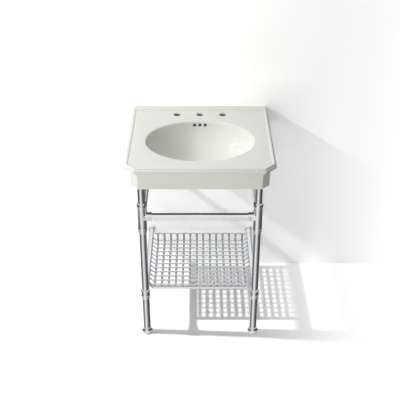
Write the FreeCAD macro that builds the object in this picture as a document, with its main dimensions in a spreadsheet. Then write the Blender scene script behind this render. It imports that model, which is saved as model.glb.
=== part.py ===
import FreeCAD, Part
import math
import os
import Sketcher

# Console basin on a chromed two-legged stand with a wire shelf.
# Millimetres. X runs to the user's right, Y towards the wall, Z up; the floor is Z = 0,
# X = 0 is the middle of the basin and Y = 0 is half way from its front rim to the wall.
# Names ending in _out are distances out from the wall.

SIZES = [
    # basin, seen from above
    ("basin_width", 610, "over the rim, side to side"),
    ("basin_depth", 592, "wall to the front of the rim"),
    ("basin_height", 889, "floor to the top of the rim"),
    ("corner_cut", 45, "each leg of the cut front corners"),
    ("ledge_width", 16, "flat band round the deck at the sides and front"),
    ("ledge_back", 38, "flat band along the wall"),
    ("deck_step", 2.5, "drop from the band to the deck"),
    ("step_round", 1.5, "round on the edge of that step"),
    ("deck_thickness", 20, "deck slab"),
    # rim moulding and apron
    ("rim_face", 18, "height of the rim's outer face"),
    ("rim_round", 7, "round on the rim's top edge"),
    ("rim_under", 8, "flat under the rim before the cove"),
    ("apron_inset", 24, "apron behind the rim"),
    ("apron_drop", 105, "top of the rim to the foot of the apron"),
    ("apron_wall", 15, "apron and back wall"),
    ("apron_round", 4, "rounds along the foot of the apron"),
    # bowl
    ("bowl_side", 79, "side of the rim to the bowl's opening"),
    ("bowl_front", 79, "front of the rim to that opening"),
    ("bowl_back", 152, "wall to that opening"),
    ("bowl_sink", 148, "deck to the bottom of the bowl"),
    ("bowl_wall", 11, "wall of the bowl"),
    ("bowl_lip", 8, "round where the bowl meets the deck"),
    # holes in the basin
    ("tap_hole", 32, "tap and spout holes"),
    ("tap_round", 1.5, "round on their upper edges"),
    ("tap_spacing", 101.6, "tap hole to spout hole"),
    ("tap_out", 83, "row of tap holes"),
    ("overflow_hole", 14, "overflow holes"),
    ("overflow_spacing", 23.3, "one overflow hole to the next"),
    ("overflow_sink", 18.5, "deck to the overflow holes"),
    ("drain_hole", 45, "drain hole"),
    ("drain_seat", 64, "seat for the drain's flange"),
    ("drain_seat_sink", 3, "depth of that seat"),
    ("drain_neck", 80, "neck round the drain hole"),
    ("drain_neck_drop", 36, "bottom of the bowl to the end of the neck"),
    ("duct_width", 68, "overflow duct, inside"),
    ("duct_gap", 14, "overflow duct, front to back"),
    ("duct_wall", 10, "overflow duct's wall"),
    ("hanger_hole", 12, "holes for the bolts that hang the basin"),
    ("hanger_spacing", 280, "between those holes"),
    ("hanger_sink", 62, "top of the rim to those holes"),
    ("boss_width", 56, "pad under each front corner, for the leg"),
    ("boss_drop", 50, "top of the rim to the underside of that pad"),
    # legs
    ("leg_inset", 64, "side of the rim to the leg axis"),
    ("leg_setback", 69, "front of the rim to the leg axes"),
    ("leg_width", 31.75, "leg tube"),
    ("tube_wall", 1.5, "wall of every tube"),
    ("slip", 0.05, "play between a tube and what it slides in"),
    ("leg_foot_gap", 18, "floor to the lower end of the leg tube"),
    ("cap_flange", 38, "cap on top of the leg"),
    ("cap_thickness", 5, "its flange"),
    ("cap_plug", 15, "its plug inside the tube"),
    ("cap_pad", 4, "rubber pad on the cap"),
    # feet
    ("foot_width", 47.5, "widest part of the foot"),
    ("foot_base", 39, "underside of the foot"),
    ("foot_top", 28, "floor to the top of the foot"),
    ("foot_neck", 36.5, "top of the foot"),
    ("foot_rim", 3, "straight rim at the top of the foot"),
    ("foot_belly", 10, "floor to the widest part"),
    ("foot_web_top", 9, "floor to the bottom of the cup"),
    ("foot_web", 3, "web that the stud hangs in"),
    ("foot_pad_width", 32, "rubber pad under the foot"),
    ("foot_pad_height", 3, "that pad"),
    ("foot_pad_show", 1, "part of the pad below the foot"),
    ("stud_width", 10, "levelling stud"),
    ("stud_head", 16, "its head"),
    ("stud_head_gap", 0.3, "play of the head over the pad"),
    ("stud_top", 46, "floor to the top of the stud"),
    ("plug_height", 22, "threaded plug in the foot of the leg"),
    # fittings on the legs
    ("upper_rail_height", 627, "axes of the crossbar and the upper side rails"),
    ("upper_rail_width", 31.75, "crossbar and upper side rails"),
    ("upper_sleeve_width", 39, "sleeve of the upper fitting"),
    ("upper_sleeve_up", 66, "rail axis to the top of the sleeve"),
    ("upper_sleeve_down", 81, "rail axis to the foot of the sleeve"),
    ("upper_socket_width", 38, "its sockets"),
    ("upper_socket_reach", 39, "leg axis to the mouth of a socket"),
    ("lower_rail_height", 219, "axes of the shelf rails"),
    ("lower_rail_width", 25.4, "shelf rails"),
    ("lower_sleeve_width", 38, "sleeve of the lower fitting"),
    ("lower_sleeve_up", 25, "rail axis to the top of the sleeve"),
    ("lower_sleeve_down", 22, "rail axis to the foot of the sleeve"),
    ("lower_socket_width", 30, "its socket"),
    ("lower_socket_reach", 36, "leg axis to the mouth of the socket"),
    ("socket_depth", 20, "tube inside a socket"),
    ("socket_gap", 1, "end of the tube to the bottom of the socket"),
    ("upper_bead", 18, "bead at the top of the upper sleeve"),
    ("lower_bead", 11, "bead at the top of the lower sleeve"),
    ("bead_swell", 1.9, "how far a bead stands out"),
    ("collar_length", 10, "collar at the mouth of a socket"),
    ("collar_swell", 1.6, "how far the collar stands out"),
    ("collar_slope", 2, "slope behind the collar"),
    ("edge_break", 1, "bevel at the mouth of a socket or cover ring"),
    ("upper_taper", 17, "tapered foot of the upper sleeve"),
    ("lower_taper", 12, "tapered foot of the lower sleeve"),
    ("taper_band", 6, "band above the taper"),
    ("taper_swell", 1.2, "how far the top of the taper stands out"),
    ("taper_lip", 0.8, "thickness left at the end of the taper"),
    ("screw_width", 5, "set screws"),
    ("screw_length", 3.5, "set screws"),
    ("screw_hex", 2.5, "their sockets, across the flats"),
    ("screw_hex_depth", 2, "their sockets"),
    ("screw_back", 32, "rail axis down to the screw in the upper sleeve"),
    ("screw_low", 19.5, "rail axis up to the screw in the lower sleeve"),
    # ends of the rails at the wall
    ("spigot_plate", 3, "disc against the wall"),
    ("spigot_length", 20, "barrel inside the rail"),
    ("spigot_hole", 6.5, "hole for the wall screw"),
    ("spigot_bore", 13, "room for the screw's head"),
    ("cover_swell", 4.5, "how far the cover ring stands out"),
    ("cover_length", 18, "cover ring"),
    ("cover_gap", 0.3, "cover ring to the wall"),
    # wire shelf
    ("long_wires", 14, "count of the wires that run front to back"),
    ("cross_wires", 12, "count of the wires that run side to side"),
    ("long_wire_width", 11, "wires that run front to back"),
    ("cross_wire_width", 8, "wires that run side to side"),
    ("rear_rod_width", 9, "rod along the back edge"),
    ("front_bar_width", 14, "bar along the front edge"),
    ("mesh_height", 192, "axes of the cross wires"),
    ("mesh_side", 33, "leg axis to the outermost long wire"),
    ("mesh_out", 69, "rearmost cross wire"),
    ("front_bar_setback", 88, "leg axes back to the bar along the front edge"),
    ("front_bar_rise", 3, "axes of the long wires up to that bar"),
    ("front_gap", 11, "that bar back to the first cross wire"),
    ("rear_rod_out", 58, "rod along the back edge"),
    ("rear_rod_height", 226.5, "rod along the back edge"),
    ("weld_gap", 0.05, "wire surface to wire surface at a weld"),
    ("wire_bend", 10, "bend of a long wire at the back"),
    ("end_bend", 15, "bend of a cross wire or the front bar near the rail"),
    ("end_slope", 52, "their rise to the rail, degrees"),
]

MARGIN = 30  # how far a cutting tool reaches past what it cuts
OVERLAP = 1  # how far joined forms reach into each other, and a short cut past its wall
LEVEL = 0.01  # how close two heights or places have to be to count as the same


class Size:
    """A measure worked out from the sheet: its value, and the formula that keeps it bound."""

    def __init__(self, value, formula):
        self.value = value
        self.formula = formula

    def __add__(self, other):
        other = as_size(other)
        return Size(self.value + other.value, f"({self.formula} + {other.formula})")

    def __sub__(self, other):
        other = as_size(other)
        return Size(self.value - other.value, f"({self.formula} - {other.formula})")

    def __mul__(self, other):
        other = as_size(other)
        return Size(self.value * other.value, f"({self.formula} * {other.formula})")

    def __truediv__(self, other):
        other = as_size(other)
        return Size(self.value / other.value, f"({self.formula} / {other.formula})")

    def __neg__(self):
        return Size(-self.value, f"(-1 * {self.formula})")

    def __radd__(self, other):
        return as_size(other) + self

    def __rsub__(self, other):
        return as_size(other) - self


def as_size(measure):
    return measure if isinstance(measure, Size) else Size(measure, f"({measure})")


def sine(angle):
    return Size(math.sin(math.radians(angle.value)), f"sin({angle.formula} * 1 deg)")


def cosine(angle):
    return Size(math.cos(math.radians(angle.value)), f"cos({angle.formula} * 1 deg)")


def tangent(angle):
    return Size(math.tan(math.radians(angle.value)), f"tan({angle.formula} * 1 deg)")


class Sizes:
    """The sheet's cells by name."""


def fill_sheet(document):
    """Write the driving dimensions into the sheet and return them by name."""
    sheet = document.addObject("Spreadsheet::Sheet", "Sizes")
    named = Sizes()
    for row, (name, value, meaning) in enumerate(SIZES, start=1):
        sheet.set(f"A{row}", name)
        sheet.set(f"B{row}", str(value))
        sheet.set(f"C{row}", meaning)
        sheet.setAlias(f"B{row}", name)
        setattr(named, name, Size(value, f"Sizes.{name}"))
    document.recompute()
    return named


doc = FreeCAD.newDocument("console_basin")
S = fill_sheet(doc)

# Places that several pieces share, all worked out from the sheet.
ROOT2 = Size(math.sqrt(2), "sqrt(2)")
wall_y = S.basin_depth / 2
front_y = -wall_y
side_x = S.basin_width / 2
apron_foot = S.basin_height - S.apron_drop
deck_z = S.basin_height - S.deck_step
bowl_half_width = side_x - S.bowl_side
bowl_half_depth = (S.basin_depth - S.bowl_front - S.bowl_back) / 2
bowl_y = front_y + S.bowl_front + bowl_half_depth
leg_x = side_x - S.leg_inset
leg_y = front_y + S.leg_setback
leg_top = S.basin_height - S.boss_drop - S.cap_pad - S.cap_thickness
leg_radius = S.leg_width / 2
leg_inside = leg_radius - S.tube_wall
long_wire_z = S.mesh_height - (S.long_wire_width + S.cross_wire_width) / 2 - S.weld_gap
front_bar_z = long_wire_z + S.front_bar_rise
front_bar_y = leg_y + S.front_bar_setback
mesh_y = wall_y - S.mesh_out
rear_rod_y = wall_y - S.rear_rod_out
long_wire_pitch = (leg_x - S.mesh_side) * 2 / (S.long_wires - 1)
cross_wire_pitch = (mesh_y - front_bar_y - S.front_gap) / (S.cross_wires - 1)
node_objects = []


# ---------------------------------------------------------------- drawing helpers

def bind(item, prop, measure):
    item.setExpression(prop, as_size(measure).formula)


def place(item, x=None, y=None, z=None):
    """Bind an object's Placement to the sheet; an axis that is left out stays 0."""
    for axis, measure in (("x", x), ("y", y), ("z", z)):
        if measure is not None:
            bind(item, f"Placement.Base.{axis}", measure)


def node(item, label):
    """Name a finished sub-part; its Label is its file's name."""
    item.Label = label
    node_objects.append(item)
    return item


def new_body(name, x=None, y=None, z=None):
    body = doc.addObject("PartDesign::Body", name)
    place(body, x, y, z)
    return body


def origin_item(body, role):
    return [item for item in body.Origin.OriginFeatures if item.Role == role][0]


def new_sketch(body, name, plane, height=None, turn=0):
    """A sketch on one of the body's own planes, lifted by height and turned about its Y axis."""
    sketch = body.newObject("Sketcher::SketchObject", name)
    sketch.AttachmentSupport = [(origin_item(body, plane), "")]
    sketch.MapMode = "FlatFace"
    turned = FreeCAD.Rotation(FreeCAD.Vector(0, 1, 0), turn)
    sketch.AttachmentOffset = FreeCAD.Placement(FreeCAD.Vector(), turned)
    if height is not None:
        bind(sketch, "AttachmentOffset.Base.z", height)
    return sketch


def hold(sketch, edge, end, measures):
    """Hold one end of an edge at a place in the sketch."""
    for kind, measure in zip(("DistanceX", "DistanceY"), measures):
        measure = as_size(measure)
        rule = Sketcher.Constraint(kind, -1, 1, edge, end, measure.value)
        bind(sketch, f"Constraints[{sketch.addConstraint(rule)}]", measure)


def hold_radius(sketch, edge, measure):
    rule = Sketcher.Constraint("Radius", edge, as_size(measure).value)
    bind(sketch, f"Constraints[{sketch.addConstraint(rule)}]", measure)


def arc_between(start, end, radius, turn):
    """The arc of under a half circle from start to end; turn is 1 when it runs to the left."""
    chord = end - start
    across = FreeCAD.Vector(-chord.y, chord.x, 0).normalize()
    rise = math.sqrt(max(radius ** 2 - (chord.Length / 2) ** 2, 0))
    centre = (start + end) / 2 + across * rise * turn
    first, last = (start, end) if turn > 0 else (end, start)
    angles = [math.atan2(point.y - centre.y, point.x - centre.x) for point in (first, last)]
    circle = Part.Circle(centre, FreeCAD.Vector(0, 0, 1), radius)
    return Part.ArcOfCircle(circle, angles[0], angles[1])


def draw(sketch, corners, closed=True):
    """Draw a chain of edges: (x, y) ends a line and (x, y, radius, turn) ends an arc."""
    points = [FreeCAD.Vector(as_size(c[0]).value, as_size(c[1]).value, 0) for c in corners]
    targets = list(range(1, len(corners))) + ([0] if closed else [])
    first_joint = joint = None
    for start, target in enumerate(targets):
        corner = corners[target]
        ends = (1, 2)
        if len(corner) == 4 and target:
            radius, turn = as_size(corner[2]).value, corner[3]
            shape = arc_between(points[start], points[target], radius, turn)
            ends = (1, 2) if turn > 0 else (2, 1)
        else:
            shape = Part.LineSegment(points[start], points[target])
        edge = sketch.addGeometry(shape)
        if len(corner) == 4 and target:
            hold_radius(sketch, edge, corner[2])
        if joint:
            sketch.addConstraint(Sketcher.Constraint("Coincident", *joint, edge, ends[0]))
        else:
            first_joint = (edge, ends[0])
        hold(sketch, edge, ends[0], corners[start][:2])
        joint = (edge, ends[1])
    if closed:
        sketch.addConstraint(Sketcher.Constraint("Coincident", *joint, *first_joint))
    else:
        hold(sketch, *joint, corners[-1][:2])
    return sketch


def draw_circle(sketch, x, y, radius):
    centre = FreeCAD.Vector(as_size(x).value, as_size(y).value, 0)
    circle = Part.Circle(centre, FreeCAD.Vector(0, 0, 1), as_size(radius).value)
    edge = sketch.addGeometry(circle)
    hold(sketch, edge, 3, (x, y))
    hold_radius(sketch, edge, radius)


def draw_hexagon(sketch, x, y, across):
    """A hexagon with two flats parallel to the sketch's X axis."""
    half, side = across / 2, across / Size(math.sqrt(3), "sqrt(3)")
    steps = [(side, 0), (side / 2, half), (-(side / 2), half),
             (-side, 0), (-(side / 2), -half), (side / 2, -half)]
    draw(sketch, [(x + step[0], y + step[1]) for step in steps])


def pad(body, name, sketch, length, both_ways=False):
    feature = body.newObject("PartDesign::Pad", name)
    feature.Profile = sketch
    feature.SideType = "Symmetric" if both_ways else "One side"
    bind(feature, "Length", length)
    return feature


def pocket(body, name, sketch, length=None, forward=False, both_ways=False):
    """Cut a sketch out of the body, through everything where no length is given.

    The cut runs against the sketch's normal unless it is told to go forward.
    """
    doc.recompute()
    before = body.Shape.Volume
    feature = body.newObject("PartDesign::Pocket", name)
    feature.Profile = sketch
    feature.Reversed = forward
    feature.SideType = "Symmetric" if both_ways else "One side"
    if length is None:
        feature.Type = "ThroughAll"
    else:
        bind(feature, "Length", length)
    doc.recompute()
    if body.Shape.Volume > before - 1:
        raise ValueError(f"{body.Name}: {name} cuts nothing")
    return feature


def revolve(body, name, sketch, axis="V_Axis", cut=False):
    kind = "PartDesign::Groove" if cut else "PartDesign::Revolution"
    feature = body.newObject(kind, name)
    feature.Profile = sketch
    feature.ReferenceAxis = (sketch, [axis])
    feature.Angle = 360
    return feature


def sweep_wire(body, path, width):
    """Run a round wire along a sketched path, starting square to its first edge."""
    doc.recompute()
    section = body.newObject("Sketcher::SketchObject", "wire_section")
    section.AttachmentSupport = [(path, "Edge1")]
    section.MapMode = "NormalToEdge"
    section.MapPathParameter = 0
    draw_circle(section, 0, 0, width / 2)
    pipe = body.newObject("PartDesign::AdditivePipe", "wire")
    pipe.Profile = section
    pipe.Spine = (path, [f"Edge{i + 1}" for i in range(len(path.Geometry))])
    doc.recompute()
    return pipe


def repeat(body, feature, axis, count, pitch, backwards=False):
    rows = body.newObject("PartDesign::LinearPattern", "rows")
    rows.Originals = [feature]
    rows.Direction = (origin_item(body, axis), [""])
    rows.Reversed = backwards
    bind(rows, "Occurrences", count)
    bind(rows, "Length", pitch * (count - 1))
    body.Tip = rows
    return rows


def mirrored(source, label):
    """The same piece on the other side of the basin's middle."""
    twin = doc.addObject("Part::Mirroring", label)
    twin.Source = source
    twin.Normal = FreeCAD.Vector(1, 0, 0)
    return node(twin, label)


def both_sides(piece, name):
    """Name a left-hand piece and make its right-hand twin."""
    node(piece, f"{name}_left")
    mirrored(piece, f"{name}_right")


def cylinder(name, radius, length, x=None, y=None, z=None, axis=None):
    """A round tool or boss along Z, or along the given axis."""
    item = doc.addObject("Part::Cylinder", name)
    bind(item, "Radius", radius)
    bind(item, "Height", length)
    if axis is not None:
        turn = FreeCAD.Rotation(FreeCAD.Vector(0, 0, 1), axis)
        item.Placement = FreeCAD.Placement(FreeCAD.Vector(), turn)
    place(item, x, y, z)
    return item


def box(name, x_low, y_low, z_low, length, width, height):
    item = doc.addObject("Part::Box", name)
    bind(item, "Length", length)
    bind(item, "Width", width)
    bind(item, "Height", height)
    place(item, x_low, y_low, z_low)
    return item


def combine(kind, name, items):
    result = doc.addObject(kind, name)
    if kind in ("Part::Cut", "Part::Common"):
        result.Base, result.Tool = items
    else:
        result.Shapes = items
    return result


# ---------------------------------------------------------------- basin

def moulding_cutter(edge, inward):
    """The space outside the rim and apron of one side, whose rim face stands at edge."""
    top, foot = S.basin_height, apron_foot
    rim_foot = top - S.rim_face
    cove = S.apron_inset - S.rim_under

    def at(inset, height, *arc):
        return (edge + inset * inward, height, *arc)

    outside = -(S.corner_cut + MARGIN)
    return [
        at(outside, top + MARGIN),
        at(S.rim_round, top + MARGIN),
        at(S.rim_round, top),
        at(as_size(0), top - S.rim_round, S.rim_round, -inward),
        at(as_size(0), rim_foot),
        at(S.rim_under, rim_foot),
        at(S.apron_inset, rim_foot - cove, cove, inward),
        at(S.apron_inset, foot - MARGIN),
        at(outside, foot - MARGIN),
    ]


def plan_outline(inset, inset_back):
    """The basin's outline from above, drawn in by the insets."""
    x, front, back = side_x - inset, front_y + inset, wall_y - inset_back
    corner_y = front_y + S.corner_cut + (ROOT2 - 1) * inset
    corner_x = side_x - S.corner_cut - (ROOT2 - 1) * inset
    return [(-x, back), (-x, corner_y), (-corner_x, front),
            (corner_x, front), (x, corner_y), (x, back)]


def make_basin_block():
    """The moulded block: rim, cove and apron all round, deck recess, and the hollow below."""
    body = new_body("basin_block")
    plan = new_sketch(body, "plan", "XY_Plane", apron_foot)
    draw(plan, [(-side_x, front_y), (side_x, front_y), (side_x, wall_y), (-side_x, wall_y)])
    pad(body, "block", plan, S.apron_drop)

    sides = new_sketch(body, "side_moulding", "XZ_Plane")
    draw(sides, moulding_cutter(side_x, -1))
    draw(sides, moulding_cutter(-side_x, 1))
    pocket(body, "cut_sides", sides, both_ways=True)

    front = new_sketch(body, "front_moulding", "YZ_Plane")
    draw(front, moulding_cutter(front_y, 1))
    pocket(body, "cut_front", front, both_ways=True)

    corner_reach = (side_x + wall_y - S.corner_cut) / ROOT2
    for name, turn in (("right", -45), ("left", -135)):
        corner = new_sketch(body, f"{name}_corner_moulding", "XZ_Plane", turn=turn)
        draw(corner, moulding_cutter(corner_reach, -1))
        pocket(body, f"cut_{name}_corner", corner, both_ways=True)

    recess = new_sketch(body, "deck_recess", "XY_Plane", S.basin_height)
    draw(recess, plan_outline(S.ledge_width, S.ledge_back))
    pocket(body, "cut_recess", recess, S.deck_step)

    hollow = new_sketch(body, "hollow", "XY_Plane", apron_foot)
    draw(hollow, plan_outline(S.apron_inset + S.apron_wall, S.apron_wall))
    depth = S.apron_drop - S.deck_step - S.deck_thickness
    pocket(body, "cut_hollow", hollow, depth, forward=True)
    return body


def bowl_shape(name, offset, whole=False):
    """The bowl's half ellipsoid, grown by offset; whole adds the half above the deck."""
    item = doc.addObject("Part::Ellipsoid", name)
    bind(item, "Radius1", S.bowl_sink + offset)
    bind(item, "Radius2", bowl_half_width + offset)
    bind(item, "Radius3", bowl_half_depth + offset)
    item.Angle1 = -90
    item.Angle2 = 90 if whole else 0
    place(item, y=bowl_y, z=deck_z)
    return item


def make_overflow_duct():
    """The duct behind the bowl: its outside, and its inside as a tool."""
    outer = S.bowl_wall + S.duct_gap + S.duct_wall
    span = S.duct_width + S.duct_wall * 2
    reach = bowl_half_depth + outer + MARGIN
    fall = S.bowl_sink + outer + MARGIN
    block = box("duct_block", -(span / 2), bowl_y, deck_z - fall, span, reach, fall)
    outside = combine("Part::Common", "duct_outside", (bowl_shape("duct_form", outer), block))

    roof = deck_z - S.deck_thickness / 2
    slot_fall = fall - S.deck_thickness / 2
    slot = box("duct_slot", -(S.duct_width / 2), bowl_y, roof - slot_fall,
               S.duct_width, reach, slot_fall)
    form = bowl_shape("duct_back", S.bowl_wall + S.duct_gap)
    filled = combine("Part::Common", "duct_filled", (form, slot))
    bowl = bowl_shape("duct_front", S.bowl_wall)
    return outside, combine("Part::Cut", "duct_inside", (filled, bowl))


def make_basin():
    """The basin in one fired piece: block, bowl, duct, neck and corner pads, less the holes."""
    duct_outside, duct_inside = make_overflow_duct()
    bowl_foot = deck_z - S.bowl_sink
    boss_foot = S.basin_height - S.boss_drop
    boss_height = S.boss_drop - S.deck_step - S.deck_thickness + OVERLAP
    added = [make_basin_block(), bowl_shape("bowl_outside", S.bowl_wall), duct_outside]
    added.append(cylinder("drain_neck", S.drain_neck / 2, S.drain_neck_drop,
                          y=bowl_y, z=bowl_foot - S.drain_neck_drop))
    for side, x in (("left", -leg_x), ("right", leg_x)):
        added.append(cylinder(f"boss_{side}", S.boss_width / 2, boss_height,
                              x, leg_y, boss_foot))

    along_y = FreeCAD.Vector(0, 1, 0)
    removed = [bowl_shape("bowl_inside", as_size(0), whole=True), duct_inside]
    removed.append(cylinder("drain_bore", S.drain_hole / 2, S.drain_neck_drop + MARGIN * 2,
                            y=bowl_y, z=bowl_foot - S.drain_neck_drop - MARGIN))
    removed.append(cylinder("drain_recess", S.drain_seat / 2, MARGIN,
                            y=bowl_y, z=bowl_foot - S.drain_seat_sink))
    for index in (-1, 0, 1):
        removed.append(cylinder(f"tap_bore_{index + 2}", S.tap_hole / 2, MARGIN * 2,
                                S.tap_spacing * index, wall_y - S.tap_out, deck_z - MARGIN))
        removed.append(cylinder(f"overflow_bore_{index + 2}", S.overflow_hole / 2,
                                S.duct_gap / 2 + S.bowl_wall + MARGIN,
                                S.overflow_spacing * index,
                                bowl_y + bowl_half_depth - MARGIN,
                                deck_z - S.overflow_sink, along_y))
    for index in (-1, 1):
        removed.append(cylinder(f"hanger_bore_{index + 2}", S.hanger_hole / 2,
                                S.apron_wall + MARGIN, S.hanger_spacing / 2 * index,
                                wall_y - S.apron_wall - MARGIN / 2,
                                S.basin_height - S.hanger_sink, along_y))

    whole = combine("Part::MultiFuse", "basin_whole", added)
    tools = combine("Part::MultiFuse", "basin_tools", removed)
    bored = combine("Part::Cut", "basin_bored", (whole, tools))
    doc.recompute()
    glazed = doc.addObject("Part::Fillet", "basin")
    glazed.Base = bored
    glazed.Edges = [(index, radius, radius) for index, radius in basin_rounds(bored.Shape)]
    return node(glazed, "basin")


def lies_at(bounds, height):
    return max(bounds.ZMax - height.value, height.value - bounds.ZMin) < LEVEL


def lies_within(bounds, side, front, back):
    across = max(bounds.XMax, -bounds.XMin) < side.value + LEVEL
    return across and bounds.YMin > front.value - LEVEL and bounds.YMax < back.value + LEVEL


def basin_rounds(shape):
    """Number and radius of each edge of the basin that the glaze rounds off."""
    ledge_front, ledge_back = front_y + S.ledge_width, wall_y - S.ledge_back
    ledge_side = side_x - S.ledge_width
    bowl_rear = bowl_y + bowl_half_depth
    found = []
    for index, edge in enumerate(shape.Edges, start=1):
        bounds = edge.BoundBox
        if lies_at(bounds, deck_z):
            if lies_within(bounds, bowl_half_width, ledge_front, bowl_rear):
                found.append((index, S.bowl_lip.value))
            elif (lies_within(bounds, side_x, bowl_rear, ledge_back)
                    and bounds.XLength < S.tap_hole.value + LEVEL):
                found.append((index, S.tap_round.value))
        elif lies_at(bounds, S.basin_height):
            if lies_within(bounds, ledge_side, ledge_front, ledge_back):
                found.append((index, S.step_round.value))
        elif lies_at(bounds, apron_foot):
            if bounds.YMin < (wall_y - S.apron_wall).value - LEVEL:
                found.append((index, S.apron_round.value))
    return found


# ---------------------------------------------------------------- tubes, fittings, feet

def make_ring(name, profile, x=None, y=None, z=None, plane="XZ_Plane", axis="V_Axis"):
    """A turned piece: its half section, spun about the sketch's own axis."""
    body = new_body(name, x, y, z)
    sketch = new_sketch(body, "half_section", plane)
    draw(sketch, profile)
    revolve(body, "turned", sketch, axis)
    return body


def tube_section(outside, start, end, along_x=False):
    """Half section of a tube that runs from start to end."""
    inner, outer = outside / 2 - S.tube_wall, outside / 2
    corners = [(inner, start), (outer, start), (outer, end), (inner, end)]
    return [(b, a) for a, b in corners] if along_x else corners


def make_legs():
    tube = tube_section(S.leg_width, S.leg_foot_gap, leg_top)
    both_sides(make_ring("leg_tube", tube, -leg_x, leg_y), "leg_tube")

    plug = leg_inside - S.slip
    flange = S.cap_flange / 2
    cap = [(0, leg_top - S.cap_plug), (plug, leg_top - S.cap_plug), (plug, leg_top),
           (flange, leg_top), (flange, leg_top + S.cap_thickness),
           (0, leg_top + S.cap_thickness)]
    both_sides(make_ring("leg_cap", cap, -leg_x, leg_y), "leg_cap")

    low = leg_top + S.cap_thickness
    cushion = [(0, low), (flange, low), (flange, low + S.cap_pad), (0, low + S.cap_pad)]
    both_sides(make_ring("leg_cap_pad", cushion, -leg_x, leg_y), "leg_cap_pad")


def make_feet():
    """Each foot hangs on a stud that screws into a plug in the leg."""
    stud = S.stud_width / 2
    bore = stud + S.slip
    plug_top = S.leg_foot_gap + S.plug_height
    plug = [(bore, S.leg_foot_gap), (leg_inside - S.slip, S.leg_foot_gap),
            (leg_inside - S.slip, plug_top), (bore, plug_top)]
    both_sides(make_ring("leg_plug", plug, -leg_x, leg_y), "leg_plug")

    head = S.stud_head / 2
    web_foot = S.foot_web_top - S.foot_web
    head_foot = S.foot_pad_height + S.stud_head_gap
    head_top = web_foot - S.slip
    shank = [(0, head_foot), (head, head_foot), (head, head_top), (stud, head_top),
             (stud, S.stud_top), (0, S.stud_top)]
    both_sides(make_ring("levelling_stud", shank, -leg_x, leg_y), "levelling_stud")

    rest = S.foot_pad_width / 2
    seat = rest + S.slip
    pocket_wall = head + S.stud_head_gap
    cup = leg_radius + S.slip
    belly, neck = S.foot_width / 2, S.foot_neck / 2
    swell = S.foot_belly - S.foot_pad_show
    flare = S.foot_top - S.foot_belly
    foot = [(seat, S.foot_pad_show),
            (S.foot_base / 2, S.foot_pad_show),
            (belly, S.foot_belly, swell, 1),
            (neck, S.foot_top - S.foot_rim, flare, -1),
            (neck, S.foot_top),
            (cup, S.foot_top),
            (cup, S.foot_web_top),
            (bore, S.foot_web_top),
            (bore, web_foot),
            (pocket_wall, web_foot),
            (pocket_wall, S.foot_pad_height),
            (seat, S.foot_pad_height)]
    both_sides(make_ring("foot", foot, -leg_x, leg_y), "foot")

    pad_section = [(0, 0), (rest, 0), (rest, S.foot_pad_height), (0, S.foot_pad_height)]
    both_sides(make_ring("foot_pad", pad_section, -leg_x, leg_y), "foot_pad")


def sleeve_section(width, up, down, bead, taper):
    """Half section of a sleeve: beaded top, plain body, swollen and tapered foot."""
    bore = leg_radius + S.slip
    body = width / 2
    swell = body + S.taper_swell
    half_bead = bead / 2
    bead_radius = (half_bead * half_bead + S.bead_swell * S.bead_swell) / (S.bead_swell * 2)
    band_top = taper + S.taper_band - down
    return [(bore, -down),
            (bore + S.taper_lip, -down),
            (swell, taper - down),
            (swell, band_top),
            (body, band_top + S.taper_swell),
            (body, up - bead),
            (body, up, bead_radius, 1),
            (bore, up)]


def socket_section(width, reach):
    """Half section of a socket along X from the leg's axis, with a collar at its mouth."""
    neck = width / 2
    collar = neck + S.collar_swell
    start = reach - S.collar_length
    return [(0, 0), (reach, 0), (reach, collar - S.edge_break), (reach - S.edge_break, collar),
            (start + S.collar_slope, collar), (start, neck), (0, neck)]


def make_fitting(name, height, sleeve, socket, rail_width, screw_rise, front_socket):
    """A cast fitting that slips over the leg and holds one or two rails."""
    socket_width, reach = socket
    body = new_body(name, -leg_x, leg_y, height)
    outline = new_sketch(body, "sleeve_section", "XZ_Plane")
    draw(outline, sleeve_section(*sleeve))
    revolve(body, "sleeve", outline)

    planes = [("wall", "YZ_Plane")] + ([("middle", "XZ_Plane")] if front_socket else [])
    for towards, plane in planes:
        section = new_sketch(body, f"socket_section_{towards}", plane)
        draw(section, socket_section(socket_width, reach))
        revolve(body, f"socket_{towards}", section, "H_Axis")

    leg_bore = new_sketch(body, "leg_bore", "XY_Plane")
    draw_circle(leg_bore, 0, 0, leg_radius + S.slip)
    pocket(body, "bore_leg", leg_bore, both_ways=True)

    bore = rail_width / 2 + S.slip
    floor = reach - S.socket_depth - S.socket_gap
    for towards, plane in planes:
        hole = new_sketch(body, f"rail_bore_{towards}", plane)
        draw(hole, [(floor, 0), (reach + MARGIN, 0), (reach + MARGIN, bore), (floor, bore)])
        revolve(body, f"bore_{towards}", hole, "H_Axis", cut=True)

    back_screw = new_sketch(body, "sleeve_screw", "XZ_Plane")
    draw_circle(back_screw, 0, screw_rise, S.screw_width / 2)
    pocket(body, "tap_sleeve", back_screw, sleeve[0] / 2 + S.bead_swell + OVERLAP)
    under_screws = new_sketch(body, "socket_screws", "XY_Plane")
    screw_reach = reach - S.collar_length / 2
    draw_circle(under_screws, 0, screw_reach, S.screw_width / 2)
    if front_socket:
        draw_circle(under_screws, screw_reach, 0, S.screw_width / 2)
    pocket(body, "tap_sockets", under_screws)
    both_sides(body, name)


def make_fittings():
    make_fitting("upper_tee", S.upper_rail_height,
                 (S.upper_sleeve_width, S.upper_sleeve_up, S.upper_sleeve_down,
                  S.upper_bead, S.upper_taper),
                 (S.upper_socket_width, S.upper_socket_reach),
                 S.upper_rail_width, -S.screw_back, front_socket=True)
    make_fitting("lower_tee", S.lower_rail_height,
                 (S.lower_sleeve_width, S.lower_sleeve_up, S.lower_sleeve_down,
                  S.lower_bead, S.lower_taper),
                 (S.lower_socket_width, S.lower_socket_reach),
                 S.lower_rail_width, S.screw_low, front_socket=False)


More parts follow.
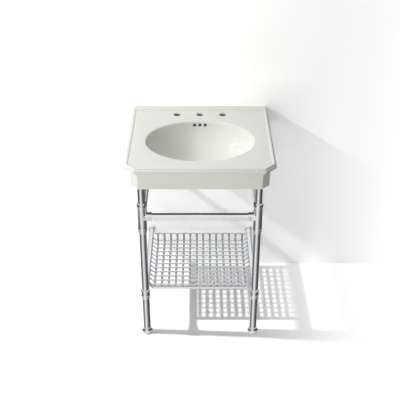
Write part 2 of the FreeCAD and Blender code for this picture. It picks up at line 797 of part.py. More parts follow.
def add_screws(body, name, plane, level, places):
    """Screws that start at a level and run along the plane's normal, with hexagon sockets."""
    shanks = new_sketch(body, name, plane, level)
    drives = new_sketch(body, f"{name}_hex", plane, level)
    for x, y in places:
        draw_circle(shanks, x, y, S.screw_width / 2 - S.slip)
        draw_hexagon(drives, x, y, S.screw_hex)
    pad(body, f"{name}_shank", shanks, S.screw_length)
    pocket(body, f"{name}_drive", drives, S.screw_hex_depth, forward=True)


def make_set_screws():
    """Every set screw: behind each sleeve, and under the mouth of each socket."""
    body = new_body("set_screws")
    head_y = leg_y + leg_radius + S.slip * 2 + S.screw_length
    heights = (S.upper_rail_height - S.screw_back, S.lower_rail_height + S.screw_low)
    add_screws(body, "behind", "XZ_Plane", -head_y,
               [(x, height) for x in (-leg_x, leg_x) for height in heights])

    grip = S.upper_socket_reach - S.collar_length / 2
    head_z = S.upper_rail_height - S.upper_rail_width / 2 - S.slip * 2 - S.screw_length
    add_screws(body, "under_upper", "XY_Plane", head_z,
               [(-leg_x, leg_y + grip), (leg_x, leg_y + grip),
                (-leg_x + grip, leg_y), (leg_x - grip, leg_y)])

    grip = S.lower_socket_reach - S.collar_length / 2
    head_z = S.lower_rail_height - S.lower_rail_width / 2 - S.slip * 2 - S.screw_length
    add_screws(body, "under_lower", "XY_Plane", head_z,
               [(-leg_x, leg_y + grip), (leg_x, leg_y + grip)])
    return node(body, "set_screws")


def make_rails():
    """The crossbar between the legs, and the rails that run back to the wall."""
    half = leg_x - S.upper_socket_reach + S.socket_depth
    bar = tube_section(S.upper_rail_width, -half, half, along_x=True)
    node(make_ring("crossbar", bar, y=leg_y, z=S.upper_rail_height, axis="H_Axis"), "crossbar")

    for name, width, height, reach in (
            ("upper_rail", S.upper_rail_width, S.upper_rail_height, S.upper_socket_reach),
            ("shelf_rail", S.lower_rail_width, S.lower_rail_height, S.lower_socket_reach)):
        front_end = leg_y + reach - S.socket_depth
        back_end = wall_y - S.spigot_plate
        rail = tube_section(width, front_end, back_end, along_x=True)
        body = make_ring(name, rail, -leg_x, z=height, plane="YZ_Plane", axis="H_Axis")
        both_sides(body, name)


def make_wall_ends():
    """Each rail slides over a spigot screwed to the wall, and a loose ring covers the joint."""
    for name, width, height in (
            ("upper", S.upper_rail_width, S.upper_rail_height),
            ("shelf", S.lower_rail_width, S.lower_rail_height)):
        barrel = width / 2 - S.tube_wall - S.slip
        hole, bore = S.spigot_hole / 2, S.spigot_bore / 2
        plate = wall_y - S.spigot_plate
        tip = plate - S.spigot_length
        spigot = [(wall_y, hole), (wall_y, width / 2), (plate, width / 2), (plate, barrel),
                  (tip, barrel), (tip, bore), (plate, bore), (plate, hole)]
        body = make_ring(f"{name}_spigot", spigot, -leg_x, z=height,
                         plane="YZ_Plane", axis="H_Axis")
        both_sides(body, f"{name}_spigot")

        inner, outer = width / 2 + S.slip, width / 2 + S.cover_swell
        back = wall_y - S.cover_gap
        front = back - S.cover_length
        ring = [(back, inner), (back, outer), (front + S.edge_break, outer),
                (front, outer - S.edge_break), (front, inner)]
        cover = make_ring(f"{name}_cover", ring, -leg_x, z=height,
                          plane="YZ_Plane", axis="H_Axis")
        both_sides(cover, f"{name}_cover")


# ---------------------------------------------------------------- wire shelf

def make_long_wires():
    """Wires from under the rear rod, down, and along the bottom to the front bar."""
    body = new_body("shelf_long_wires", S.mesh_side - leg_x)
    path = new_sketch(body, "path", "YZ_Plane")
    draw(path, [
        (rear_rod_y, S.rear_rod_height - S.rear_rod_width / 2 - S.weld_gap),
        (rear_rod_y, long_wire_z + S.wire_bend),
        (rear_rod_y - S.wire_bend, long_wire_z, S.wire_bend, -1),
        (front_bar_y + S.front_bar_width / 2 + S.weld_gap, long_wire_z),
    ], closed=False)
    wire = sweep_wire(body, path, S.long_wire_width)
    repeat(body, wire, "X_Axis", S.long_wires, long_wire_pitch)
    return node(body, "shelf_long_wires")


def rising_path(height):
    """From rail to rail, the ends bent up to meet the rails square on."""
    climb = S.lower_rail_height - height
    corner_x = leg_x - climb / tangent(S.end_slope)
    cut_back = S.end_bend * tangent(S.end_slope / 2)
    bend_x = corner_x + cut_back * cosine(S.end_slope)
    bend_z = height + cut_back * sine(S.end_slope)
    return [
        (-leg_x, S.lower_rail_height),
        (-bend_x, bend_z),
        (cut_back - corner_x, height, S.end_bend, 1),
        (corner_x - cut_back, height),
        (bend_x, bend_z, S.end_bend, 1),
        (leg_x, S.lower_rail_height),
    ]


def make_cross_member(name, width, y, corners, count=None):
    """A wire along a path from rail to rail, or a row of them, coped to the rails."""
    body = new_body(f"{name}_whole", y=y)
    path = new_sketch(body, "path", "XZ_Plane")
    draw(path, corners, closed=False)
    wire = sweep_wire(body, path, width)
    if count is not None:
        repeat(body, wire, "Y_Axis", count, cross_wire_pitch, backwards=True)

    front = front_bar_y - MARGIN
    rails = [cylinder(f"{name}_rail_{side}", S.lower_rail_width / 2 + S.weld_gap,
                      wall_y - front, x, front, S.lower_rail_height,
                      FreeCAD.Vector(0, 1, 0))
             for side, x in (("left", -leg_x), ("right", leg_x))]
    coped = combine("Part::Cut", name, (body, combine("Part::MultiFuse", f"{name}_rails", rails)))
    return node(coped, name)


def make_shelf():
    make_long_wires()
    make_cross_member("shelf_cross_wires", S.cross_wire_width, mesh_y,
                      rising_path(S.mesh_height), S.cross_wires)
    make_cross_member("shelf_front_bar", S.front_bar_width, front_bar_y, rising_path(front_bar_z))
    make_cross_member("shelf_rear_rod", S.rear_rod_width, rear_rod_y,
                      [(-leg_x, S.rear_rod_height), (leg_x, S.rear_rod_height)])


# ---------------------------------------------------------------- build, check, write

make_basin()
make_legs()
make_feet()
make_fittings()
make_set_screws()
make_rails()
make_wall_ends()
make_shelf()
doc.recompute()

for item in doc.Objects:
    if "Invalid" in item.State or "Error" in item.State:
        raise ValueError(f"{item.Label} did not compute: {item.State}")
for item in node_objects:
    if item.Shape.isNull() or not item.Shape.isValid() or not item.Shape.Solids:
        raise ValueError(f"{item.Label} is not a sound solid")

os.makedirs("parts", exist_ok=True)
for item in node_objects:
    item.Shape.exportStep(f"parts/{item.Label}.step")
    solids = len(item.Shape.Solids)
    print(f"{item.Label}: {solids} solid(s), {item.Shape.Volume / 1000:.1f} cm3")
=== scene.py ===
"""Console basin on a chromed stand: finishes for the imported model, and its stage."""

import math

import bmesh
import bpy
from bpy.props import FloatProperty, FloatVectorProperty, PointerProperty
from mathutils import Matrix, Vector


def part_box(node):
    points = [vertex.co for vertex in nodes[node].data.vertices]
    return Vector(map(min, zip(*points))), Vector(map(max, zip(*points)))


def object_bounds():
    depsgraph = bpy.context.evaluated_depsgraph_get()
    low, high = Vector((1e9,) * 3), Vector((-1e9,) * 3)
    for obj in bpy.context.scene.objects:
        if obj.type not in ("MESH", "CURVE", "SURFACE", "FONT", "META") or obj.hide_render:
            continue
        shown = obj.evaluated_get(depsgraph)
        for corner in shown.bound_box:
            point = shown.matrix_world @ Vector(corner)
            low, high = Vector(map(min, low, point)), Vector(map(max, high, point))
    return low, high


bl_info = {
    "name": "Console Basin",
    "version": (1, 0, 0),
    "blender": (4, 5, 0),
    "location": "3D View > Sidebar > Console Basin",
    "description": "Finishes a console basin, its chromed stand and its wire shelf",
    "category": "Object",
}

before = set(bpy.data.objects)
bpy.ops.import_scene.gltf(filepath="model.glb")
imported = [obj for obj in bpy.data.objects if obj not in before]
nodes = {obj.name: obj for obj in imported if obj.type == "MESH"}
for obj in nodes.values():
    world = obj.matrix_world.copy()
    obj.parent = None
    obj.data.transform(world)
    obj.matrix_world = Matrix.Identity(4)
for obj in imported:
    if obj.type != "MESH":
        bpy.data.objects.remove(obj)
cad_low, cad_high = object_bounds()
SIDES = ("left", "right")

# What polished metal shows, from the far left (-1) to the far right (1): the grey of each side.
STUDIO_SHADES = ((-1.0, 0.10), (-0.8, 0.12), (-0.6, 0.50), (-0.35, 1.0), (0.0, 0.88),
                 (0.25, 0.50), (0.5, 0.20), (0.75, 0.08), (1.0, 0.07))
CEILING = 1.0  # what it shows where it looks up
CEILING_RISE = 0.4  # how steeply it looks up where it shows nothing but that

# Where the glaze of the basin ends and its unglazed fireclay, painted dark as shade, begins; in
# metres.
BOWL_RADII = (0.226, 0.1805, 0.148)  # bowl inside: half its width, half its depth, and its sink
BOWL_CLEAR = 1.03  # share of those radii past which nothing is glazed
BOWL_FORWARD = 0.0365  # bowl's middle in front of the basin's
DECK_STEP = 0.0025  # rim down to the deck
APRON_INSETS = (("X", 0.048), ("Y", 0.046))  # edge of the basin to the unglazed fireclay inside the apron, painted dark as shade
GLAZE_DEPTH = 0.009  # how far the glaze runs down into the holes, from the rim's top; below it the hole walls are painted dark as shade

NOISE_RANGE = (0.35, 0.65)  # the values that most of a noise texture lies between
POLISHED = (0.8, 1.3)  # the least and most of a roughness, as shares of its setting
MACHINED = (0.8, 1.4)  # the same on turned metal
WELD_DISTANCE = 0.00001
BRASS = (0.72, 0.56, 0.28)

# Lamps: name, place, width and colour; a power is set for each name.
COOL = (0.94, 0.94, 1.0)
WARM = (1.0, 0.99, 0.93)
WHITE = (1.0, 1.0, 1.0)
LAMP_TARGET = (0, -0.05, 0.75)
SHADOW_PLACE = (-2.57, -0.11, 2.66)
STREAK_SIZE = (0.1, 0.7)
PIECE_LAMPS = (
    ("key", (-4.11, -0.15, 3.8), 1.1, COOL),
    ("fill", (-2.2, -2.5, 2.6), 2.0, WARM),
    ("top", (-0.5, 0.1, 2.5), 1.2, WARM),
    ("low", (-0.5, -3.2, 0.7), 1.6, WARM))
STAGE_LAMPS = (
    ("shadow", SHADOW_PLACE, 0.08, WHITE),
    ("front", (-0.8, -3.4, 0.9), 1.6, WHITE),
    ("room", (0.4, -1.6, 3.5), 2.5, WHITE))

WALL_GAP = 0.0005  # back of the basin to the wall
SHEET_REACH = 2.5  # how far the floor and the wall go from the middle
WHITE_REACH = 1  # where along X the floor and the wall have their left and right whites
SENSOR_WIDTH = 36


# ---------------------------------------------------------------- settings

class FinishSettings(bpy.types.PropertyGroup):
    glaze: FloatVectorProperty(
        name="Glaze", description="Colour of the glazed basin", subtype="COLOR",
        size=3, min=0, max=1, default=(0.84, 0.845, 0.785))
    glaze_roughness: FloatProperty(
        name="Glaze roughness", description="0 is a mirror-like glaze",
        min=0, max=1, default=0.03)
    # Unglazed fireclay whose dark colour is painted shade: it darkens the tap holes and the hollow
    # under the deck.
    clay_and_painted_shade: FloatVectorProperty(
        name="Clay", description="Colour of the unglazed underside and hole walls",
        subtype="COLOR", size=3, min=0, max=1, default=(0.16, 0.15, 0.12))
    chrome: FloatVectorProperty(
        name="Chrome", description="Colour of the plated metal", subtype="COLOR",
        size=3, min=0, max=1, default=(0.80, 0.81, 0.83))
    chrome_roughness: FloatProperty(
        name="Chrome roughness", description="Blur of the plated tubes",
        min=0, max=1, default=0.06)
    wire_roughness: FloatProperty(
        name="Wire roughness", description="Blur of the shelf's plated wires",
        min=0, max=1, default=0.12)
    rubber: FloatVectorProperty(
        name="Rubber", description="Colour of the pads", subtype="COLOR",
        size=3, min=0, max=1, default=(0.10, 0.10, 0.105))


class StageSettings(bpy.types.PropertyGroup):
    floor: FloatVectorProperty(
        name="Floor and wall", description="Colour of the floor and the wall",
        subtype="COLOR", size=3, min=0, max=1, default=(0.86, 0.86, 0.86))
    key_power: FloatProperty(
        name="Key lamp", description="Soft lamp high on the left, near the wall",
        unit="POWER", min=0, default=109)
    shadow_power: FloatProperty(
        name="Shadow lamp", description="Small lamp in line with it, for the floor and wall only",
        unit="POWER", min=0, default=100)
    front_power: FloatProperty(
        name="Front lamp", description="Large low lamp in front, for the floor and wall only",
        unit="POWER", min=0, default=30)
    room_power: FloatProperty(
        name="Room lamp", description="Large lamp overhead, for the floor and wall only",
        unit="POWER", min=0, default=20)
    streak_power: FloatProperty(
        name="Streak lamp", description="Narrow lamp that lights nothing and is mirrored in the bowl",
        unit="POWER", min=0, default=10)
    fill_power: FloatProperty(
        name="Fill lamp", description="Large lamp in front, on the left",
        unit="POWER", min=0, default=54)
    top_power: FloatProperty(
        name="Top lamp", description="Large lamp overhead", unit="POWER",
        min=0, default=9.5)
    low_power: FloatProperty(
        name="Low lamp", description="Large lamp in front, near the floor",
        unit="POWER", min=0, default=19)
    sky: FloatProperty(
        name="Surroundings", description="Brightness of the surroundings",
        min=0, default=0.06)
    floor_white: FloatVectorProperty(
        name="White of the floor", description="How pale it looks at the far left and far right",
        size=2, min=0, max=6, default=(0.9, 1.55))
    wall_white: FloatVectorProperty(
        name="White of the wall", description="How pale it looks at the far left and far right",
        size=2, min=0, max=6, default=(1.5, 1.6))
    floor_fade: FloatVectorProperty(
        name="Fade on the floor", description="Where its shadows start to fade, and where they end",
        size=2, unit="LENGTH", default=(0.15, 0.80))
    wall_fade: FloatVectorProperty(
        name="Fade on the wall", description="Where its shadows start to fade, and where they end",
        size=2, unit="LENGTH", default=(0.45, 0.98))
    lens: FloatProperty(
        name="Lens", description="Focal length of the camera, in millimetres",
        min=10, max=300, default=69.43)
    camera_height: FloatProperty(
        name="Camera height", description="Camera above the floor", unit="LENGTH",
        default=2.3737)
    camera_distance: FloatProperty(
        name="Camera distance", description="Camera in front of the basin's middle",
        unit="LENGTH", default=2.9265)
    camera_pitch: FloatProperty(
        name="Camera pitch", description="How far the camera looks down",
        subtype="ANGLE", default=math.radians(31.68))


# ---------------------------------------------------------------- materials

def new_material(name):
    """A material with its nodes cleared, its tree, and its shader wired to the output."""
    material = bpy.data.materials.new(name)
    material.use_nodes = True
    tree = material.node_tree
    tree.nodes.clear()
    shader = tree.nodes.new("ShaderNodeBsdfPrincipled")
    output = tree.nodes.new("ShaderNodeOutputMaterial")
    tree.links.new(shader.outputs["BSDF"], output.inputs["Surface"])
    return material, tree, shader


def noise(tree, scale, detail=2.0):
    """Noise over the object's own coordinates; scale is in cells to the metre."""
    place = tree.nodes.new("ShaderNodeTexCoord")
    texture = tree.nodes.new("ShaderNodeTexNoise")
    texture.inputs["Scale"].default_value = scale
    texture.inputs["Detail"].default_value = detail
    tree.links.new(place.outputs["Object"], texture.inputs["Vector"])
    return texture.outputs["Fac"]


def remap(tree, value, low=0.0, high=1.0):
    """Spread a noise value over a range."""
    spread = tree.nodes.new("ShaderNodeMapRange")
    spread.inputs["From Min"].default_value = NOISE_RANGE[0]
    spread.inputs["From Max"].default_value = NOISE_RANGE[1]
    spread.inputs["To Min"].default_value = low
    spread.inputs["To Max"].default_value = high
    tree.links.new(value, spread.inputs["Value"])
    return spread.outputs["Result"]


def uneven(tree, roughness, scale, detail=2.0, shares=POLISHED):
    """A roughness that drifts a little about its setting."""
    return remap(tree, noise(tree, scale, detail), *(roughness * share for share in shares))


def mix_colours(tree, amount, first, second):
    """Blend two colours, each written out or the output of another node."""
    mix = tree.nodes.new("ShaderNodeMix")
    mix.data_type = "RGBA"
    tree.links.new(amount, mix.inputs["Factor"])
    for socket, colour in (("A", first), ("B", second)):
        if isinstance(colour, bpy.types.NodeSocket):
            tree.links.new(colour, mix.inputs[socket])
        else:
            mix.inputs[socket].default_value = (*colour, 1)
    return mix.outputs["Result"]


def bump(tree, shader, height, distance, strength):
    ripple = tree.nodes.new("ShaderNodeBump")
    ripple.inputs["Strength"].default_value = strength
    ripple.inputs["Distance"].default_value = distance
    tree.links.new(height, ripple.inputs["Height"])
    tree.links.new(ripple.outputs["Normal"], shader.inputs["Normal"])


def tinted(colour, factor):
    return tuple(min(1.0, channel * factor) for channel in colour)


def compute(tree, operation, first, second):
    """A sum on the output of a node and a number or another output."""
    step = tree.nodes.new("ShaderNodeMath")
    step.operation = operation
    tree.links.new(first, step.inputs[0])
    if isinstance(second, bpy.types.NodeSocket):
        tree.links.new(second, step.inputs[1])
    else:
        step.inputs[1].default_value = second
    return step.outputs["Value"]


def outside_bowl(tree, place, centre):
    """1 where a place is clear of the ellipsoid that holds the bowl."""
    around = tree.nodes.new("ShaderNodeMapping")
    around.inputs["Scale"].default_value = [1 / radius for radius in BOWL_RADII]
    around.inputs["Location"].default_value = [
        -middle / radius for middle, radius in zip(centre, BOWL_RADII)]
    reach = tree.nodes.new("ShaderNodeVectorMath")
    reach.operation = "LENGTH"
    tree.links.new(place, around.inputs["Vector"])
    tree.links.new(around.outputs["Vector"], reach.inputs[0])
    return compute(tree, "GREATER_THAN", reach.outputs["Value"], BOWL_CLEAR)


def bare_clay_shade_mask(tree, low, high):
    """1 where the dark fireclay colour paints shade: the unglazed underside and hole walls below the
    deck, inside the apron and outside the bowl.
    """
    place = tree.nodes.new("ShaderNodeTexCoord").outputs["Object"]
    axes = tree.nodes.new("ShaderNodeSeparateXYZ")
    tree.links.new(place, axes.inputs["Vector"])
    middle, half = (low + high) / 2, (high - low) / 2
    bare_and_shaded = outside_bowl(tree, place, (middle.x, middle.y - BOWL_FORWARD, high.z - DECK_STEP))
    for axis, inset in APRON_INSETS:
        centre, reach = getattr(middle, axis.lower()), getattr(half, axis.lower()) - inset
        offset = tree.nodes.new("ShaderNodeMapRange")
        offset.clamp = False
        offset.inputs["From Min"].default_value = centre - reach
        offset.inputs["From Max"].default_value = centre + reach
        offset.inputs["To Min"].default_value = -1
        tree.links.new(axes.outputs[axis], offset.inputs["Value"])
        square = compute(tree, "MULTIPLY", offset.outputs["Result"], offset.outputs["Result"])
        bare_and_shaded = compute(tree, "MULTIPLY", bare_and_shaded, compute(tree, "LESS_THAN", square, 1.0))
    below = compute(tree, "LESS_THAN", axes.outputs["Z"], high.z - GLAZE_DEPTH)
    return compute(tree, "MULTIPLY", bare_and_shaded, below)


def glaze_material(settings):
    """Thick off-white glaze over fireclay: faint drift of colour, slow ripple, fine orange peel; the
    unglazed fireclay is painted dark as shade in the holes and under the deck.
    """
    material, tree, shader = new_material("glaze")
    drift = remap(tree, noise(tree, 5.0))
    glaze = mix_colours(tree, drift, tinted(settings.glaze, 0.985), settings.glaze)
    bare_and_shaded = bare_clay_shade_mask(tree, *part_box("basin"))
    smooth = uneven(tree, settings.glaze_roughness, 14.0)
    # Painted shade: the dark colour of the unglazed parts darkens the tap holes and the hollow under
    # the deck.
    tree.links.new(mix_colours(tree, bare_and_shaded, glaze, settings.clay_and_painted_shade), shader.inputs["Base Color"])
    tree.links.new(compute(tree, "MAXIMUM", smooth, bare_and_shaded), shader.inputs["Roughness"])
    shader.inputs["IOR"].default_value = 1.5
    bump(tree, shader, noise(tree, 22.0, 1.0), 0.0002, 0.4)
    return material


def chrome_material(name, settings, roughness, dull=1.0):
    """Plated metal: even colour, with the faint haze of wiped fingermarks."""
    material, tree, shader = new_material(name)
    shader.inputs["Metallic"].default_value = 1.0
    haze = remap(tree, noise(tree, 30.0, 3.0))
    colour = mix_colours(tree, haze, tinted(settings.chrome, 0.97 * dull),
                         tinted(settings.chrome, dull))
    tree.links.new(colour, shader.inputs["Base Color"])
    tree.links.new(uneven(tree, roughness, 18.0, 4.0), shader.inputs["Roughness"])
    return material


def metal_material(name, colour, roughness, grain):
    """Turned metal with a fine machined grain."""
    material, tree, shader = new_material(name)
    shader.inputs["Metallic"].default_value = 1.0
    shade = remap(tree, noise(tree, grain, 4.0))
    tree.links.new(mix_colours(tree, shade, tinted(colour, 0.85), colour),
                   shader.inputs["Base Color"])
    tree.links.new(uneven(tree, roughness, grain * 2, shares=MACHINED),
                   shader.inputs["Roughness"])
    return material


def rubber_material(settings):
    """Matt moulded rubber with a fine pebbled skin."""
    material, tree, shader = new_material("rubber")
    shade = remap(tree, noise(tree, 60.0, 3.0))
    tree.links.new(mix_colours(tree, shade, tinted(settings.rubber, 0.8), settings.rubber),
                   shader.inputs["Base Color"])
    shader.inputs["Roughness"].default_value = 0.75
    bump(tree, shader, noise(tree, 900.0), 0.0002, 0.4)
    return material


def dress(names, material, crease=32.0):
    """Give CAD nodes a finish, shaded smooth across every edge flatter than crease degrees."""
    for name in names:
        piece = nodes[name]
        piece.data.materials.clear()
        piece.data.materials.append(material)
        piece.data.shade_smooth()
        if "custom_normal" in piece.data.attributes:
            piece.data.attributes.remove(piece.data.attributes["custom_normal"])
        weld = piece.modifiers.new("join the facets", "WELD")
        weld.merge_threshold = WELD_DISTANCE
        split = piece.modifiers.new("keep the edges", "EDGE_SPLIT")
        split.split_angle = math.radians(crease)


def pair(*names):
    return [f"{name}_{side}" for name in names for side in SIDES]


# ---------------------------------------------------------------- pieces

class BASIN_OT_glaze_basin(bpy.types.Operator):
    """Glaze the basin"""
    bl_idname = "console_basin.glaze_basin"
    bl_label = "Glaze the Basin"

    def execute(self, context):
        dress(["basin"], glaze_material(context.scene.basin_finish))
        return {"FINISHED"}


class BASIN_OT_plate_legs(bpy.types.Operator):
    """Plate the leg tubes and their caps, and dress the parts inside them"""
    bl_idname = "console_basin.plate_legs"
    bl_label = "Plate the Legs"

    def execute(self, context):
        settings = context.scene.basin_finish
        chrome = chrome_material("leg chrome", settings, settings.chrome_roughness)
        dress(pair("leg_tube", "leg_cap"), chrome)
        dress(pair("leg_cap_pad"), rubber_material(settings))
        dress(pair("leg_plug"), metal_material("plug brass", BRASS, 0.3, 160.0))
        return {"FINISHED"}


class BASIN_OT_plate_feet(bpy.types.Operator):
    """Plate the feet, and dress their studs and pads"""
    bl_idname = "console_basin.plate_feet"
    bl_label = "Plate the Feet"

    def execute(self, context):
        settings = context.scene.basin_finish
        dress(pair("foot"), chrome_material("foot chrome", settings, settings.chrome_roughness))
        dress(pair("foot_pad"), rubber_material(settings))
        dress(pair("levelling_stud"), metal_material("stud zinc", (0.60, 0.61, 0.62), 0.35, 220.0))
        return {"FINISHED"}


class BASIN_OT_plate_fittings(bpy.types.Operator):
    """Plate the fittings on the legs and their set screws"""
    bl_idname = "console_basin.plate_fittings"
    bl_label = "Plate the Fittings"

    def execute(self, context):
        settings = context.scene.basin_finish
        chrome = chrome_material("fitting chrome", settings, settings.chrome_roughness * 1.3)
        dress(pair("upper_tee", "lower_tee"), chrome)
        dress(["set_screws"], metal_material("screw steel", (0.50, 0.51, 0.52), 0.3, 300.0))
        return {"FINISHED"}


class BASIN_OT_plate_rails(bpy.types.Operator):
    """Plate the crossbar, the side rails and what holds them to the wall"""
    bl_idname = "console_basin.plate_rails"
    bl_label = "Plate the Rails"

    def execute(self, context):
        settings = context.scene.basin_finish
        chrome = chrome_material("rail chrome", settings, settings.chrome_roughness)
        dress(["crossbar", *pair("upper_rail", "shelf_rail", "upper_cover", "shelf_cover")], chrome)
        dress(pair("upper_spigot", "shelf_spigot"),
              metal_material("spigot brass", BRASS, 0.3, 160.0))
        return {"FINISHED"}


class BASIN_OT_plate_shelf(bpy.types.Operator):
    """Plate the wires of the shelf"""
    bl_idname = "console_basin.plate_shelf"
    bl_label = "Plate the Shelf"

    def execute(self, context):
        settings = context.scene.basin_finish
        wire = chrome_material("wire chrome", settings, settings.wire_roughness, 0.95)
        dress(["shelf_long_wires", "shelf_cross_wires", "shelf_front_bar", "shelf_rear_rod"],
              wire, crease=50.0)
        return {"FINISHED"}


# ---------------------------------------------------------------- stage

def stage_sheet(name, corners, material):
    """One flat face through four corners, in order, seen from the side that they turn about."""
    mesh = bpy.data.meshes.new(name)
    form = bmesh.new()
    form.faces.new([form.verts.new(corner) for corner in corners])
    form.to_mesh(mesh)
    form.free()
    sheet = bpy.data.objects.new(name, mesh)
    sheet.data.materials.append(material)
    sheet.visible_glossy = False
    bpy.context.scene.collection.objects.link(sheet)
    return sheet


def stage_material(name, settings, whites, fade):
    """Matt white that keeps shadows near the piece and isn't there when seen from behind."""
    material = bpy.data.materials.new(name)
    material.use_nodes = True
    tree = material.node_tree
    tree.nodes.clear()
    make, link = tree.nodes.new, tree.links.new
    rays = make("ShaderNodeLightPath")
    matt = make("ShaderNodeBsdfDiffuse")
    matt.inputs["Color"].default_value = (*settings.floor, 1)

    place = make("ShaderNodeTexCoord")
    axes = make("ShaderNodeSeparateXYZ")
    link(place.outputs["Object"], axes.inputs["Vector"])
    white = make("ShaderNodeMapRange")
    white.inputs["From Min"].default_value = -WHITE_REACH
    white.inputs["From Max"].default_value = WHITE_REACH
    white.inputs["To Min"].default_value = whites[0]
    white.inputs["To Max"].default_value = whites[1]
    link(axes.outputs["X"], white.inputs["Value"])
    pale = make("ShaderNodeBsdfDiffuse")
    link(white.outputs["Result"], pale.inputs["Color"])
    far = make("ShaderNodeMapRange")
    far.interpolation_type = "SMOOTHSTEP"
    far.inputs["From Min"].default_value = fade[0]
    far.inputs["From Max"].default_value = fade[1]
    link(axes.outputs["X"], far.inputs["Value"])
    blank = make("ShaderNodeEmission")
    faded = make("ShaderNodeMixShader")
    link(far.outputs["Result"], faded.inputs["Fac"])
    link(pale.outputs["BSDF"], faded.inputs[1])
    link(blank.outputs["Emission"], faded.inputs[2])

    seen = make("ShaderNodeMixShader")
    link(rays.outputs["Is Camera Ray"], seen.inputs["Fac"])
    link(matt.outputs["BSDF"], seen.inputs[1])
    link(faded.outputs["Shader"], seen.inputs[2])
    side = make("ShaderNodeNewGeometry")
    clear = make("ShaderNodeBsdfTransparent")
    choose = make("ShaderNodeMixShader")
    link(side.outputs["Backfacing"], choose.inputs["Fac"])
    link(seen.outputs["Shader"], choose.inputs[1])
    link(clear.outputs["BSDF"], choose.inputs[2])
    output = make("ShaderNodeOutputMaterial")
    link(choose.outputs["Shader"], output.inputs["Surface"])
    return material


def add_lamp(name, place, size, power, colour=WHITE):
    """A soft square lamp that isn't mirrored."""
    lamp = bpy.data.lights.new(name, "AREA")
    lamp.energy = power
    lamp.color = colour
    lamp.size = size
    holder = bpy.data.objects.new(name, lamp)
    holder.visible_glossy = False
    bpy.context.scene.collection.objects.link(holder)
    holder.location = place
    holder.rotation_euler = (Vector(LAMP_TARGET) - Vector(place)).to_track_quat("-Z", "Y").to_euler()
    return holder


def aim_at_stage(lamp, sheets, only):
    """Let a lamp light nothing but the stage's sheets, or everything but them."""
    group = bpy.data.collections.new(f"{lamp.name} lights")
    for sheet in sheets:
        group.objects.link(sheet)
    for member in group.collection_objects:
        member.light_linking.link_state = "INCLUDE" if only else "EXCLUDE"
    lamp.light_linking.receiver_collection = group


def hang_lamps(settings, sheets):
    """Light the piece and the stage apart, and hang the lamp that the bowl mirrors."""
    for lamps, only in ((PIECE_LAMPS, False), (STAGE_LAMPS, True)):
        for name, place, size, colour in lamps:
            lamp = add_lamp(name, place, size, getattr(settings, f"{name}_power"), colour)
            aim_at_stage(lamp, sheets, only)
    streak = add_lamp("streak", SHADOW_PLACE, STREAK_SIZE[0], settings.streak_power)
    streak.data.shape = "RECTANGLE"
    streak.data.size_y = STREAK_SIZE[1]
    streak.visible_glossy, streak.visible_diffuse = True, False


def light_surroundings(strength):
    """Plain surroundings: white to the camera, and a pale front between dark sides to metal."""
    world = bpy.data.worlds.new("surroundings")
    bpy.context.scene.world = world
    world.use_nodes = True
    tree = world.node_tree
    tree.nodes.clear()
    make, link = tree.nodes.new, tree.links.new

    def background(brightness=1.0):
        shader = make("ShaderNodeBackground")
        shader.inputs["Color"].default_value = (1, 1, 1, 1)
        shader.inputs["Strength"].default_value = brightness
        return shader

    direction = make("ShaderNodeTexCoord")
    axes = make("ShaderNodeSeparateXYZ")
    across = make("ShaderNodeMapRange")
    across.inputs["From Min"].default_value = -1
    shades = make("ShaderNodeValToRGB")
    for step, (side, shade) in enumerate(STUDIO_SHADES):
        place = (side + 1) / 2
        stop = shades.color_ramp.elements[step] if step < 2 else shades.color_ramp.elements.new(place)
        stop.position = place
        stop.color = (shade, shade, shade, 1)
    link(direction.outputs["Generated"], axes.inputs["Vector"])
    link(axes.outputs["X"], across.inputs["Value"])
    link(across.outputs["Result"], shades.inputs["Fac"])
    upward = make("ShaderNodeMapRange")
    upward.inputs["From Max"].default_value = CEILING_RISE
    link(axes.outputs["Z"], upward.inputs["Value"])
    ceiling = make("ShaderNodeMix")
    ceiling.data_type = "RGBA"
    ceiling.inputs["B"].default_value = (CEILING, CEILING, CEILING, 1)
    link(upward.outputs["Result"], ceiling.inputs["Factor"])
    link(shades.outputs["Color"], ceiling.inputs["A"])

    rays = make("ShaderNodeLightPath")
    plain, studio, backdrop = background(strength), background(), background()
    link(ceiling.outputs["Result"], studio.inputs["Color"])
    mirrored = make("ShaderNodeMixShader")
    link(rays.outputs["Is Glossy Ray"], mirrored.inputs["Fac"])
    link(plain.outputs["Background"], mirrored.inputs[1])
    link(studio.outputs["Background"], mirrored.inputs[2])
    choose = make("ShaderNodeMixShader")
    link(rays.outputs["Is Camera Ray"], choose.inputs["Fac"])
    link(mirrored.outputs["Shader"], choose.inputs[1])
    link(backdrop.outputs["Background"], choose.inputs[2])
    output = make("ShaderNodeOutputWorld")
    link(choose.outputs["Shader"], output.inputs["Surface"])


def build_sheets(settings):
    """The floor, and the wall behind the basin."""
    wall_y = cad_high.y + WALL_GAP
    left, right = (-SHEET_REACH, SHEET_REACH)
    floor = stage_material("floor", settings, settings.floor_white, settings.floor_fade)
    wall = stage_material("wall", settings, settings.wall_white, settings.wall_fade)
    return [
        stage_sheet("floor", [(left, left, 0), (right, left, 0),
                              (right, wall_y, 0), (left, wall_y, 0)], floor),
        stage_sheet("wall", [(left, wall_y, 0), (right, wall_y, 0),
                             (right, wall_y, right), (left, wall_y, right)], wall)]


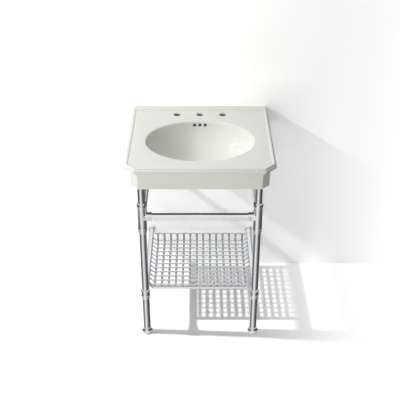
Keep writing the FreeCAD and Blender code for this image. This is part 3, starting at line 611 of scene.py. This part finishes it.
def place_camera(settings):
    """A camera in front of the basin's middle, looking down at it."""
    lens = bpy.data.cameras.new("camera")
    lens.lens = settings.lens
    lens.sensor_width = SENSOR_WIDTH
    camera = bpy.data.objects.new("camera", lens)
    bpy.context.scene.collection.objects.link(camera)
    camera.location = (0, -settings.camera_distance, settings.camera_height)
    camera.rotation_euler = (math.pi / 2 - settings.camera_pitch, 0, 0)
    bpy.context.scene.camera = camera
    bpy.context.scene.view_settings.view_transform = "Standard"


class BASIN_OT_set_stage(bpy.types.Operator):
    """Set the floor, the wall, the lamps and the camera"""
    bl_idname = "console_basin.set_stage"
    bl_label = "Set the Stage"

    def execute(self, context):
        settings = context.scene.basin_stage
        hang_lamps(settings, build_sheets(settings))
        light_surroundings(settings.sky)
        place_camera(settings)
        return {"FINISHED"}


# ---------------------------------------------------------------- add-on

STEPS = (BASIN_OT_glaze_basin, BASIN_OT_plate_legs, BASIN_OT_plate_feet,
         BASIN_OT_plate_fittings, BASIN_OT_plate_rails, BASIN_OT_plate_shelf,
         BASIN_OT_set_stage)


class BASIN_PT_panel(bpy.types.Panel):
    """Lists the pieces and their settings in the sidebar"""
    bl_idname = "BASIN_PT_panel"
    bl_label = "Console Basin"
    bl_space_type = "VIEW_3D"
    bl_region_type = "UI"
    bl_category = "Console Basin"

    def draw(self, context):
        for group in (context.scene.basin_finish, context.scene.basin_stage):
            box = self.layout.box()
            for name in group.__annotations__:
                box.prop(group, name)
        for step in STEPS:
            self.layout.operator(step.bl_idname)


CLASSES = (FinishSettings, StageSettings, *STEPS, BASIN_PT_panel)


def register():
    for cls in CLASSES:
        bpy.utils.register_class(cls)
    bpy.types.Scene.basin_finish = PointerProperty(type=FinishSettings)
    bpy.types.Scene.basin_stage = PointerProperty(type=StageSettings)


def unregister():
    del bpy.types.Scene.basin_stage
    del bpy.types.Scene.basin_finish
    for cls in reversed(CLASSES):
        bpy.utils.unregister_class(cls)


def main():
    register()
    for step in STEPS:
        getattr(bpy.ops.console_basin, step.bl_idname.split(".")[1])()


if __name__ == "__main__":
    main()
